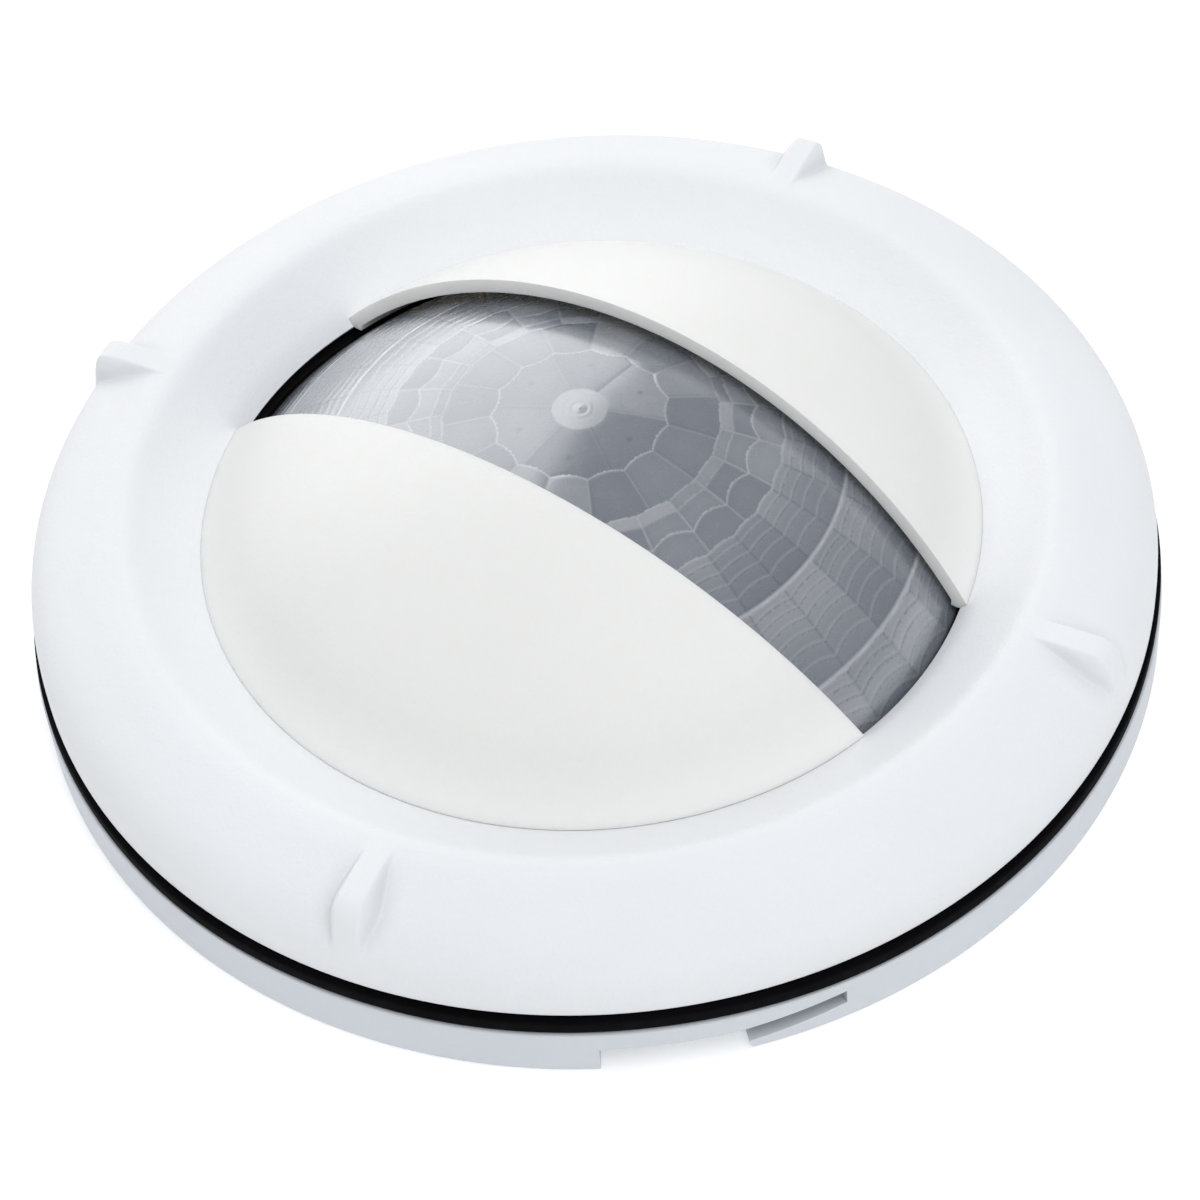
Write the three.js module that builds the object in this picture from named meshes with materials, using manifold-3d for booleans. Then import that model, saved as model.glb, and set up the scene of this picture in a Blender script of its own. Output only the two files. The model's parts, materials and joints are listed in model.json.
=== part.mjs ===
// Low-profile twist-lock PIR motion sensor head with an aisle mask.
// Millimetres, +Z towards the room (the dome side), origin at the centre of the
// plane of the collar's bottom edge, where the head meets its mounting base.
// Azimuths are in degrees, anticlockwise from +X. Plan places are [x, y].
import * as THREE from "three";
import { mergeVertices } from "three/addons/utils/BufferGeometryUtils.js";
import Module from "manifold-3d";

const wasm = await Module();
wasm.setup();

// n positions at a pitch, centred on 0
const row = (n, pitch) => Array.from({ length: n }, (_, i) => (i - (n - 1) / 2) * pitch);

// ---------------------------------------------------------------- dimensions
const THIRDS = [0, 120, 240];
const SEAT_GAP = 0.05;           // between stacked parts
const COLLAR_R = 43.0;           // rear collar
const COLLAR_IN_R = 40.6;
const COLLAR_H = 4.1;
const PLATE_Z0 = 1.3;            // rear plate
const PLATE_Z1 = 2.9;
const GASKET_R = 42.9;
const GASKET_IN_R = 39.4;
const GASKET_Z0 = COLLAR_H + SEAT_GAP;
const GASKET_Z1 = GASKET_Z0 + 1.5;
const RIM_R = 42.5;              // bezel rim
const BEZEL_Z0 = GASKET_Z1 + SEAT_GAP;
const CREST_R = 35.3;
const CREST_Z = 13.25;
const LIP_R = 29.0;              // opening for the dome
const LIP_Z = 9.0;
const RIB_AZ = [-29.8, 60.2, 152.2, -117.2];
const DOME_EDGE_R = 29.3;
const DOME_EDGE_Z = 9.83;
const DOME_TOP_Z = 23.75;
const DOME_IN_R = 28.2;
const MASK_T = 1.1;
const LENS_TOP_Z = 21.5;
const LENS_SPHERE_R = 37;
const LENS_EDGE_R = 28.4;
const LENS_T = 0.9;
const LENS_WALL_T = 1.0;
const SLOT_AZ = -38.6;           // direction of the aisle slot
// slot half widths level with the top of the dome, and their loss per mm below it
const SLOT_NEAR = { atTop: 8.82, flare: 0.132 };
const SLOT_FAR = { atTop: 9.54, flare: 0.155 };
const STOP_AZ = 90;              // middle of the carrier stop, from the slot
const BAYONET_AZ = -93.6;        // start of the first bayonet notch
const NOTCH_SWEEP = 13.2;
const TRACK_SWEEP = 10.5;
const TRACK_RISE = 0.75;
const SCREW_PCR = 37.0;          // housing screws
const SCREW_AZ = THIRDS.map((turn) => turn - 27);
const BOARD_R = 24.6;
const BOARD_Z = 4.6;
const BOARD_T = 1.6;
const BOARD_SCREW_R = 21.2;
const STANDOFF_AZ = [30, 150, 270];
const DIALS = { time: [-13, -7], lux: [13, -7], range: [13, 5] };
const DIAL_R = 2.45;
const TAMPER = [-15, 3];
const DIP = [0, -9];
const DIP_SIZE = [10.8, 6.2];
const DIP_X = row(4, 2.54);
const CONTACTS = [0, 16.5];
const CONTACT_SIZE = [16.2, 4.6];
const CONTACT_X = row(4, 4);

// ------------------------------------------------------------------- helpers
const rad = (degrees) => (degrees * Math.PI) / 180;

function solid(geometry) {
  geometry.deleteAttribute("normal");
  geometry.deleteAttribute("uv");
  const merged = mergeVertices(geometry, 1e-4);
  const vertProperties = new Float32Array(merged.attributes.position.array);
  const triVerts = new Uint32Array(merged.index.array);
  const build = () => new wasm.Manifold(new wasm.Mesh({ numProp: 3, vertProperties, triVerts }));
  const body = build();
  if (body.volume() >= 0) return body;
  // inside out: reverse every triangle
  for (let i = 0; i < triVerts.length; i += 3) {
    [triVerts[i + 1], triVerts[i + 2]] = [triVerts[i + 2], triVerts[i + 1]];
  }
  return build();
}

const join = (first, ...rest) => rest.reduce((a, b) => a.add(b), first);
const cut = (first, ...rest) => rest.reduce((a, b) => a.subtract(b), first);
const copies = (body, azimuths) => azimuths.map((azimuth) => body.rotate([0, 0, azimuth]));

function geometryOf(body) {
  const mesh = body.getMesh();
  const geometry = new THREE.BufferGeometry();
  geometry.setAttribute("position", new THREE.BufferAttribute(mesh.vertProperties, 3));
  geometry.setIndex(new THREE.BufferAttribute(mesh.triVerts, 1));
  geometry.computeVertexNormals();
  return geometry;
}

const vectors = (points) => points.map(([x, y]) => new THREE.Vector2(x, y));

// profile [radius, z] turned about Z, closed here unless both ends are on the axis
function turned(points, segments = 48) {
  const profile = vectors(points);
  if (points[0][0] > 1e-6 || points.at(-1)[0] > 1e-6) profile.push(profile[0].clone());
  return solid(new THREE.LatheGeometry(profile, segments).rotateX(Math.PI / 2));
}

// boxes, cones and cylinders stand on z, centred on x, y
function box(width, depth, height, z = 0, x = 0, y = 0) {
  return solid(new THREE.BoxGeometry(width, depth, height).translate(x, y, z + height / 2));
}
function cone(bottomR, topR, height, z, sides, x = 0, y = 0) {
  const geometry = new THREE.CylinderGeometry(topR, bottomR, height, sides);
  return solid(geometry.rotateX(Math.PI / 2).translate(x, y, z + height / 2));
}
const cyl = (radius, ...rest) => cone(radius, radius, ...rest);

// two crossed bars, cut out as a screw recess
const cross = (length, width, height, z) =>
  [box(length, width, height, z), box(width, length, height, z)];

// geometry of a polygon [x, y] raised along Z
function prism(points, depth, z = 0) {
  const shape = new THREE.Shape(vectors(points));
  return new THREE.ExtrudeGeometry(shape, { depth, bevelEnabled: false }).translate(0, 0, z);
}

// ring sector between two azimuths, as a polygon
function sector(innerR, outerR, start, end, steps) {
  const arc = (radius) => Array.from({ length: steps + 1 }, (_, i) => {
    const angle = rad(start + ((end - start) * i) / steps);
    return [radius * Math.cos(angle), radius * Math.sin(angle)];
  });
  return [...arc(outerR), ...arc(innerR).reverse()];
}

// moves every vertex of a geometry with a function that changes its point
function warp(geometry, move) {
  const positions = geometry.attributes.position;
  const point = new THREE.Vector3();
  for (let i = 0; i < positions.count; i++) {
    point.fromBufferAttribute(positions, i);
    move(point);
    positions.setXYZ(i, point.x, point.y, point.z);
  }
  return geometry;
}

// arc profile of a sphere centred at z = centreZ, from its pole out to edgeR
function cap(sphereR, centreZ, edgeR, steps) {
  const sweep = Math.asin(edgeR / sphereR);
  return Array.from({ length: steps + 1 }, (_, i) => {
    const angle = (sweep * i) / steps;
    return [sphereR * Math.sin(angle), centreZ + sphereR * Math.cos(angle)];
  });
}

function group(parent, z = 0, azimuth = 0) {
  const child = new THREE.Group();
  child.position.z = z;
  child.rotation.z = rad(azimuth);
  parent.add(child);
  return child;
}
function add(parent, name, body, material, x = 0, y = 0, z = 0, azimuth = 0) {
  const mesh = new THREE.Mesh(geometryOf(body), material);
  mesh.name = name;
  mesh.position.set(x, y, z);
  mesh.rotation.z = rad(azimuth);
  parent.add(mesh);
}

// ----------------------------------------------------------------- materials
const standard = (settings) => new THREE.MeshStandardMaterial(settings);
const whiteMatte = standard({ color: 0xf1f2f3, roughness: 0.55 });
const whiteSatin = standard({ color: 0xf2f1ec, roughness: 0.42 });
const whiteRear = standard({ color: 0xe6e8ec, roughness: 0.5 });
const rubber = standard({ color: 0x0b0c0e, roughness: 0.6 });
const lensPlastic = standard({ color: 0xb4bac4, roughness: 0.3, transparent: true, opacity: 0.75 });
const innerPlastic = standard({ color: 0xc9ccd0, roughness: 0.5 });
const boardBlue = standard({ color: 0x10203a, roughness: 0.45 });
const blackPlastic = standard({ color: 0x17181a, roughness: 0.5 });
const steel = standard({ color: 0xb9bcc0, roughness: 0.32, metalness: 1 });
const tin = standard({ color: 0xcfd2d4, roughness: 0.3, metalness: 1 });
const gold = standard({ color: 0xd9b45a, roughness: 0.28, metalness: 1 });
const filterGlass = standard({ color: 0x2b2436, roughness: 0.15 });
const redLed = standard({ color: 0xb32222, roughness: 0.2 });
const clear = standard({ color: 0xd8d8d0, roughness: 0.15 });
const blueDip = standard({ color: 0x1f4fa0, roughness: 0.45 });
const whiteNub = standard({ color: 0xf4f4f2, roughness: 0.45 });
const aluminium = standard({ color: 0xc3c6c9, roughness: 0.35, metalness: 0.9 });
const labelFoil = standard({ color: 0xd9dbdc, roughness: 0.4, metalness: 0.3 });

const sensor = new THREE.Group();

// ---------------------------------------------------------------- front bezel
// [radius, z]
const BEZEL_PROFILE = [
  [RIM_R, BEZEL_Z0], [RIM_R, 8.4], [42.1, 9.6], [41.1, 10.75], [39.9, 11.6], [37.9, 12.55],
  [CREST_R + 0.8, CREST_Z - 0.15], [CREST_R - 0.2, CREST_Z],
  [33.7, 12.6], [30.2, 10.35], [29.4, 9.6], [LIP_R, LIP_Z],
  [LIP_R + 0.1, 8.75], [31.6, 8.75], [33.2, 10.0], [33.2, 5.25], [34.4, 5.25], [34.4, 10.6],
  [36.0, 11.1], [38.8, 9.8], [40.3, 7.9], [40.3, BEZEL_Z0],
];
// [radius, z], knee rounded towards the rim
const RIB_OUTLINE = [
  [35.0, 12.2], [41.4, 8.4], [42.4, 8.6], [42.3, 10.0], [42.05, 11.5],
  [41.7, 12.45], [41.1, 13.05], [40.2, 13.3], [38.0, 13.3], [35.4, 13.2],
];

// radial fin along +X, widening downwards with draft
function gripRib() {
  const width = 2;
  const draftTopZ = 13.0;
  const draft = 0.24;
  const fin = prism(RIB_OUTLINE, width, -width / 2).rotateX(Math.PI / 2);
  return solid(warp(fin, (point) => {
    point.y *= 1 + Math.max(0, draftTopZ - point.z) * draft;
  }));
}

function bezel() {
  const boss = cyl(2.25, 7.4, 3.0, 20, SCREW_PCR);
  const bossHole = cyl(1.45, 6.6, 2.9, 16, SCREW_PCR);
  const body = join(turned(BEZEL_PROFILE), ...copies(gripRib(), RIB_AZ), ...copies(boss, SCREW_AZ));
  // lug that stops the lens carrier at each end of its turn
  const lugAz = SLOT_AZ + STOP_AZ;
  const lug = solid(prism(sector(31.5, 33.5, lugAz - 4, lugAz + 4, 3), 1.2, 5.3));
  return cut(body, ...copies(bossHole, SCREW_AZ)).add(lug);
}
add(sensor, "bezel", bezel(), whiteMatte);

function rimGasket() {
  const chamferR = 0.35;
  const chamferZ = 0.4;
  return turned([
    [GASKET_IN_R, GASKET_Z0], [GASKET_R - chamferR, GASKET_Z0], [GASKET_R, GASKET_Z0 + chamferZ],
    [GASKET_R, GASKET_Z1 - chamferZ], [GASKET_R - chamferR, GASKET_Z1], [GASKET_IN_R, GASKET_Z1],
  ]);
}
add(sensor, "rim_gasket", rimGasket(), rubber);

// ------------------- turret: lens, two mask lobes and carrier, slot along its X
const turret = group(sensor, 0, SLOT_AZ);

function maskDome() {
  const rise = DOME_TOP_Z - DOME_EDGE_Z;
  const sphereR = (DOME_EDGE_R ** 2 + rise * rise) / (2 * rise);
  const centreZ = DOME_TOP_Z - sphereR;
  // the rim rests just over the funnel, with a short locating lip inside the bezel's opening
  return turned([
    ...cap(sphereR, centreZ, DOME_EDGE_R, 8),
    [DOME_EDGE_R, DOME_EDGE_Z - 0.08], [28.85, 9.27], [28.75, 8.95], [DOME_IN_R, 8.95],
    ...cap(sphereR - MASK_T, centreZ, DOME_IN_R, 6).reverse(),
  ]);
}

// wedge along X, wider at the top; near side at -Y, far side at +Y
function aisleSlot() {
  const length = 90;
  const topZ = 30;
  const reach = ({ atTop, flare }, z) => atTop + (z - DOME_TOP_Z) * flare;
  const section = [
    [-reach(SLOT_NEAR, 0), 0], [reach(SLOT_FAR, 0), 0],
    [reach(SLOT_FAR, topZ), topZ], [-reach(SLOT_NEAR, topZ), topZ],
  ];
  return solid(prism(section, length, -length / 2).rotateX(Math.PI / 2).rotateZ(Math.PI / 2));
}

const lobes = cut(maskDome(), aisleSlot()).decompose().filter((lobe) => lobe.volume() > 50);
const nearLobe = lobes.find((lobe) => lobe.boundingBox().max[1] < 1);
const farLobe = lobes.find((lobe) => lobe.boundingBox().min[1] > -1);
add(turret, "mask_lobe_near", nearLobe, whiteSatin);
add(turret, "mask_lobe_far", farLobe, whiteSatin);

function fresnelLens() {
  const centreZ = LENS_TOP_Z - LENS_SPHERE_R;
  const bottomZ = 6.75;
  const innerR = LENS_EDGE_R - LENS_WALL_T;
  return turned([
    ...cap(LENS_SPHERE_R, centreZ, LENS_EDGE_R, 7), [LENS_EDGE_R, bottomZ], [innerR, bottomZ],
    ...cap(LENS_SPHERE_R - LENS_T, centreZ, innerR, 5).reverse(),
  ], 40);
}
add(turret, "fresnel_lens", fresnelLens(), lensPlastic);

// stepped ring with its outer edge cut back where the bezel's lug travels
function lensCarrier() {
  const ring = turned([
    [25.4, 5.3], [32.6, 5.3], [32.6, 6.45], [30.8, 6.45],
    [30.8, 7.35], [29.3, 7.35], [29.3, 6.45], [25.4, 6.45],
  ]);
  return ring.subtract(solid(prism(sector(31.2, 33.5, STOP_AZ - 95, STOP_AZ + 95, 24), 3, 4.5)));
}
add(turret, "lens_carrier", lensCarrier(), blackPlastic);

const retainer = turned([[27.0, 3.95], [34.2, 3.95], [34.2, 5.1], [27.0, 5.1]]);
add(sensor, "carrier_retainer", retainer, innerPlastic);

// --------------------------------------------- rear housing with its bayonet
// [radius, z]
const REAR_PROFILE = [
  [0, PLATE_Z0], [COLLAR_IN_R, PLATE_Z0], [COLLAR_IN_R, 0], [COLLAR_R, 0],
  [COLLAR_R, COLLAR_H], [39.9, COLLAR_H], [39.9, PLATE_Z1],
  [34.2, PLATE_Z1], [34.2, 3.85], [33.0, 3.85], [33.0, PLATE_Z1], [0, PLATE_Z1],
];

// a notch open at the bottom and the rising track that leads on from it
function bayonetCuts() {
  const cutR = 44;
  const notchEnd = BAYONET_AZ + NOTCH_SWEEP;
  const azimuthOf = ({ x, y }) => (Math.atan2(y, x) * 180) / Math.PI;
  const up = new THREE.Vector3(0, 0, 1);
  const notch = prism(sector(40.3, cutR, BAYONET_AZ, notchEnd, 3), 3.4, -1);
  // widen the mouth at the track's end
  warp(notch, (point) => {
    if (point.z < 0 && azimuthOf(point) > notchEnd - 0.5) point.applyAxisAngle(up, rad(1.1));
  });
  const track = prism(sector(41.9, cutR, notchEnd - 0.6, notchEnd + TRACK_SWEEP, 4), 1.5, 0.85);
  warp(track, (point) => {
    point.z += (TRACK_RISE * (azimuthOf(point) - notchEnd)) / TRACK_SWEEP;
  });
  return [solid(notch), solid(track)];
}

function rearHousing() {
  const depth = 4;               // cuts through the plate
  const z = 0.5;
  const gap = 0.6;               // opening minus part, across both sides
  const window = ([width, length], place) => box(width + gap, length + gap, depth, z, ...place);
  const screwHole = cyl(1.7, depth, z, 16, SCREW_PCR);
  const counterbore = cyl(2.95, 1.0, 1.1, 20, SCREW_PCR);
  const standoff = cyl(2.3, 1.65, 2.88, 16, BOARD_SCREW_R);
  const standoffHole = cyl(1.05, 3, 1.9, 12, BOARD_SCREW_R);
  const shell = cut(
    turned(REAR_PROFILE),
    ...bayonetCuts().flatMap((body) => copies(body, THIRDS)),
    ...copies(screwHole, SCREW_AZ),
    ...copies(counterbore, SCREW_AZ),
  );
  return cut(
    join(shell, ...copies(standoff, STANDOFF_AZ)),
    ...copies(standoffHole, STANDOFF_AZ),
    ...Object.values(DIALS).map((place) => cyl(DIAL_R + 0.2, depth, z, 24, ...place)),
    cyl(1.5, depth, z, 16, ...TAMPER),
    window(DIP_SIZE, DIP),
    window(CONTACT_SIZE, CONTACTS),
  );
}
add(sensor, "rear_housing", rearHousing(), whiteRear);

// housing screws, driven from behind
SCREW_AZ.forEach((azimuth, i) => {
  const blank = join(cone(2.5, 2.6, 1.35, 0.7, 20), cyl(1.3, 6.6, 2.0, 14));
  const screw = cut(blank, ...cross(3.2, 0.6, 0.8, 0.5));
  add(group(sensor, 0, azimuth), "housing_screw_" + (i + 1), screw, steel, SCREW_PCR);
});

// ------------------------------------------------------------- circuit board
const board = group(sensor, BOARD_Z);

function circuitBoard() {
  const depth = 4;
  const z = -1;
  const [x, y] = CONTACTS;
  return cut(
    cyl(BOARD_R, BOARD_T, 0, 40),
    ...copies(cyl(1.15, depth, z, 12, BOARD_SCREW_R), STANDOFF_AZ),
    cyl(2.6, depth, z, 20, ...TAMPER),
    ...CONTACT_X.map((offset) => cyl(1.0, depth, z, 12, x + offset, y)),
  );
}
add(board, "circuit_board", circuitBoard(), boardBlue);

STANDOFF_AZ.forEach((azimuth, i) => {
  const blank = join(cone(1.9, 1.7, 1.2, 0.05, 16), cyl(0.9, 3.6, -3.5, 10));
  const screw = cut(blank, ...cross(2.4, 0.5, 0.9, 0.65));
  add(group(board, BOARD_T, azimuth), "board_screw_" + (i + 1), screw, steel, BOARD_SCREW_R);
});

// component side, facing the lens
const top = group(board, BOARD_T + SEAT_GAP);

// pyroelectric detector: insulating spacer, metal can, infrared filter window
const canBlank = join(cyl(4.6, 0.5, 0.8, 28), cyl(4.1, 3.9, 1.2, 28));
add(top, "detector_spacer", cyl(4.7, 0.75, 0, 28), whiteNub);
add(top, "detector_can", cut(canBlank, box(4.4, 3.4, 1, 4.6)), tin);
add(top, "detector_window", box(4.2, 3.2, 0.45, 4.65), filterGlass);

// leads along both long sides; dot is the round mark [radius, sides, x, y] sunk in the top
function chip({ width, depth, leads, pitch, reach, dot: [dotR, dotSides, dotX, dotY] }) {
  const height = 1.3;
  const overlap = 0.3;           // lead length, half of it inside the body
  const leadY = depth / 2 + reach / 2 - overlap / 2;
  const legs = row(leads, pitch).flatMap((x) =>
    [-leadY, leadY].map((y) => box(0.42, reach + overlap, 0.55, 0, x, y)));
  const body = join(box(width, depth, height, 0.12), ...legs);
  return body.subtract(cyl(dotR, 1, height, dotSides, dotX, dotY));
}
const controller = chip({
  width: 7.2, depth: 5.0, leads: 5, pitch: 1.27, reach: 0.9, dot: [0.45, 12, -2.8, -1.7],
});
const amplifier = chip({
  width: 4.9, depth: 3.9, leads: 4, pitch: 1.0, reach: 0.8, dot: [0.35, 10, -1.8, -1.3],
});
add(top, "controller_chip", controller, blackPlastic, 8, 8.5);
add(top, "amplifier_chip", amplifier, blackPlastic, -12, -6, 0, 90);

// body, one wide tab on +Y and three leads on -Y
const regulator = join(
  box(6.4, 3.4, 1.6, 0.1),
  box(3.0, 1.6, 0.5, 0.1, 0, 2.3),
  ...row(3, 2.3).map((x) => box(0.7, 1.6, 0.4, 0.1, x, -2.3)),
);
add(top, "regulator", regulator, blackPlastic, 11.5, -13.0);

const relay = join(box(7.6, 9.8, 5.2, 0.5), box(6.4, 8.6, 0.55));
add(top, "relay", relay, blackPlastic, 14.6, -2.6);

[-4.4, 3.6].forEach((x, i) => {
  const can = join(box(6.4, 6.4, 0.8), cyl(3.05, 4.6, 0.75, 24));
  const scored = cut(can, box(4.6, 0.25, 0.3, 5.2));
  add(top, "capacitor_" + (i + 1), scored, aluminium, x, -13.4);
});

const LED_R = 1.45;
const ledTip = solid(new THREE.SphereGeometry(LED_R, 12, 6).translate(0, 0, 2.4));
const led = join(cyl(1.75, 0.5, 0, 12), cyl(LED_R, 2.0, 0.45, 12), ledTip);
add(top, "status_led", led, redLed, -7.0, 10.6);

const lightSensor = join(box(3.2, 2.6, 0.9), cyl(1.0, 0.5, 0.85, 16));
add(top, "light_sensor", lightSensor, clear, -1.0, 10.2);

const crystal = join(box(4.6, 1.9, 1.5, 0.05), box(5.0, 2.3, 0.3));
add(top, "crystal", crystal, tin, 1.6, 7.2);

// --------------------------------------------------- tamper switch and plunger
const tamperSwitch = cut(box(6.8, 6.8, 3.7), cyl(2.35, 1.4, -0.05, 20), cyl(1.4, 4.5, -0.2, 16));
add(top, "tamper_switch", tamperSwitch, blackPlastic, ...TAMPER);

// at rest: tip at z 0.4, collar just over the plate, tail in the switch
const plunger = join(cyl(1.2, 7.8, 0.4, 16), cyl(2.1, 0.6, 3.0, 20));
add(sensor, "tamper_plunger", plunger, whiteNub, ...TAMPER);

function tamperSpring() {
  const coilR = 1.78;
  const wireR = 0.2;
  const height = 3.2;
  const stepsPerTurn = 8;
  const steps = 4 * stepsPerTurn;
  const helix = Array.from({ length: steps + 1 }, (_, i) => {
    const angle = (i / stepsPerTurn) * 2 * Math.PI;
    return new THREE.Vector3(
      coilR * Math.cos(angle), coilR * Math.sin(angle), (height * i) / steps,
    );
  });
  const wire = THIRDS.length && Array.from({ length: 5 }, (_, i) =>
    [wireR * Math.cos(rad(72 * i)), wireR * Math.sin(rad(72 * i))]);
  const extrudePath = new THREE.CatmullRomCurve3(helix);
  const options = { steps, bevelEnabled: false, extrudePath };
  return solid(new THREE.ExtrudeGeometry(new THREE.Shape(vectors(wire)), options));
}
add(sensor, "tamper_spring", tamperSpring(), steel, ...TAMPER, 3.95);

// ------------------------------------------- setting dials behind the board
// rotor with an arrow-ended driver slot, and a stub running in the base
function dialRotor() {
  const slotZ = 0.8;
  const slotDepth = 1.3;
  const arrow = solid(prism([[0, 2.1], [-1.0, 0.7], [1.0, 0.7]], slotDepth, slotZ));
  const blank = join(cyl(DIAL_R, 1.5, 1.45, 24), cyl(0.6, 0.75, 2.9, 12));
  return cut(blank, box(0.7, 3.6, slotDepth, slotZ, 0, -0.2), arrow);
}
for (const [name, place] of Object.entries(DIALS)) {
  const base = cut(box(6.2, 6.2, 1.5, -1.55), cyl(0.75, 1.2, -1.8, 12));
  add(board, name + "_dial_base", base, blackPlastic, ...place);
  add(sensor, name + "_dial", dialRotor(), whiteNub, ...place);
}

// --------------------------------------------------------- four-way DIP switch
const dipBody = cut(
  box(...DIP_SIZE, 2.55, 2.0),
  ...DIP_X.map((x) => box(1.5, 3.6, 1.2, 1.8, x)),
);
add(sensor, "dip_switch", dipBody, blueDip, ...DIP);
DIP_X.forEach((x, i) => {
  const slider = box(1.2, 1.6, 1.3, 1.65, 0, -0.85);
  add(sensor, "dip_slider_" + (i + 1), slider, whiteNub, DIP[0] + x, DIP[1]);
});

// ------------------------------------------------- contact block and its pins
const block = cut(
  box(...CONTACT_SIZE, 3.2, 1.35),
  ...CONTACT_X.map((x) => cyl(0.98, 5, 0.5, 14, x)),
);
add(sensor, "contact_block", block, blackPlastic, ...CONTACTS);
CONTACT_X.forEach((x, i) => {
  const place = [CONTACTS[0] + x, CONTACTS[1]];
  const barrel = cut(cyl(0.9, 5.6, 1.5, 14), cyl(0.62, 5.2, 1.0, 12));
  const pin = join(cone(0.3, 0.5, 0.35, 0.2, 12), cyl(0.5, 3.0, 0.5, 12));
  add(sensor, "contact_barrel_" + (i + 1), barrel, gold, ...place);
  add(sensor, "contact_pin_" + (i + 1), pin, gold, ...place);
});

add(sensor, "rating_label", box(15, 8.5, 0.2, 1.0), labelFoil, 0, 3.2);

export default sensor;
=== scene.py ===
"""A round motion sensor with a domed Fresnel lens and a two-lobed mask over it.

It lies on its rear housing, with its axis on Z and the dome towards +Z.
The camera looks along +Y and down. Sizes are in millimetres unless a comment says otherwise.
"""
import json
import math
from collections import namedtuple

import bpy
import numpy as np
from mathutils import Matrix, Vector


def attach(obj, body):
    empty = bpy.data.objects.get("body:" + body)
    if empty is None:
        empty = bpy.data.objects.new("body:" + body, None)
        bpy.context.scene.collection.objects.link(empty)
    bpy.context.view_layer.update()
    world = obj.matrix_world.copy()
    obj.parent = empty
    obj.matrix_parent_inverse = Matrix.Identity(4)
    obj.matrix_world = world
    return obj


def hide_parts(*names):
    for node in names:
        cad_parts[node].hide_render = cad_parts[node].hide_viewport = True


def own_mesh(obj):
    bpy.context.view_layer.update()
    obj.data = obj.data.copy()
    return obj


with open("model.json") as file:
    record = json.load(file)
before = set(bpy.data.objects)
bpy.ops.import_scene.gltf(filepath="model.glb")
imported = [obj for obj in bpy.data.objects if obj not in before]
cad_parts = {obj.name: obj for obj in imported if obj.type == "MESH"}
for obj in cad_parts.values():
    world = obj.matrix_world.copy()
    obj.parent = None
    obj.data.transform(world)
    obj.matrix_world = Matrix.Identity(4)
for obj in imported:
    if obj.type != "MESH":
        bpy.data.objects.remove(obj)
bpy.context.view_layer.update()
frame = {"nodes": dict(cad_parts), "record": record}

MM = 0.001
rng = np.random.default_rng(11)

# Three-fold features: screws round the rim, notches in the rear collar
SCREW_R = 37.0
SCREW_DEGREES = [-27 + 120 * i for i in range(3)]
NOTCH_DEGREES = [-93.6 + 120 * i for i in range(3)]
TAMPER_X, TAMPER_Y = -15, 3

FINISH = {}  # material by slot name


# ------------------------------------------------------------------ materials
class Mat:
    """A node material round a Principled shader, kept in FINISH under its name."""

    def __init__(self, name):
        self.material = FINISH[name] = bpy.data.materials.new(name)
        self.material.use_nodes = True
        self.nodes = self.material.node_tree.nodes
        self.shader = self.nodes["Principled BSDF"]
        self.coords = self.add("TexCoord", {}).outputs["Object"]

    def put(self, node, key, value):
        """Links a socket, or sets a plain value."""
        if hasattr(value, "node"):
            self.material.node_tree.links.new(value, node.inputs[key])
        else:
            node.inputs[key].default_value = value

    def set(self, key, value):
        self.put(self.shader, key, value)

    def add(self, kind, inputs, **settings):
        node = self.nodes.new("ShaderNode" + kind)
        for key, value in settings.items():
            setattr(node, key, value)
        for key, value in inputs.items():
            self.put(node, key, value)
        return node

    def noise(self, scale, detail=2.0, rough=0.5):
        inputs = {"Scale": scale, "Detail": detail, "Roughness": rough, "Vector": self.coords}
        return self.add("TexNoise", inputs).outputs["Fac"]

    def ramp(self, fac, stops):
        node = self.add("ValToRGB", {"Fac": fac})
        elements = node.color_ramp.elements
        while len(elements) < len(stops):
            elements.new(0.5)
        for k, (position, colour) in enumerate(stops):
            elements[k].position = position
            elements[k].color = (*colour, 1)
        return node.outputs["Color"]

    def spread(self, fac, low, high):
        """Stretches the middle of a noise, 0.3 to 0.7, over low to high."""
        inputs = {"From Min": 0.3, "From Max": 0.7, "To Min": low, "To Max": high, "Value": fac}
        return self.add("MapRange", inputs).outputs["Result"]

    def mix(self, factor, first, second):
        inputs = {"Factor": factor, "A": first, "B": second}
        return self.add("Mix", inputs, data_type="RGBA").outputs["Result"]

    def bump(self, height, strength, distance, below=None):
        inputs = {"Strength": strength, "Distance": distance, "Height": height}
        if below:
            inputs["Normal"] = below
        return self.add("Bump", inputs).outputs["Normal"]


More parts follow.
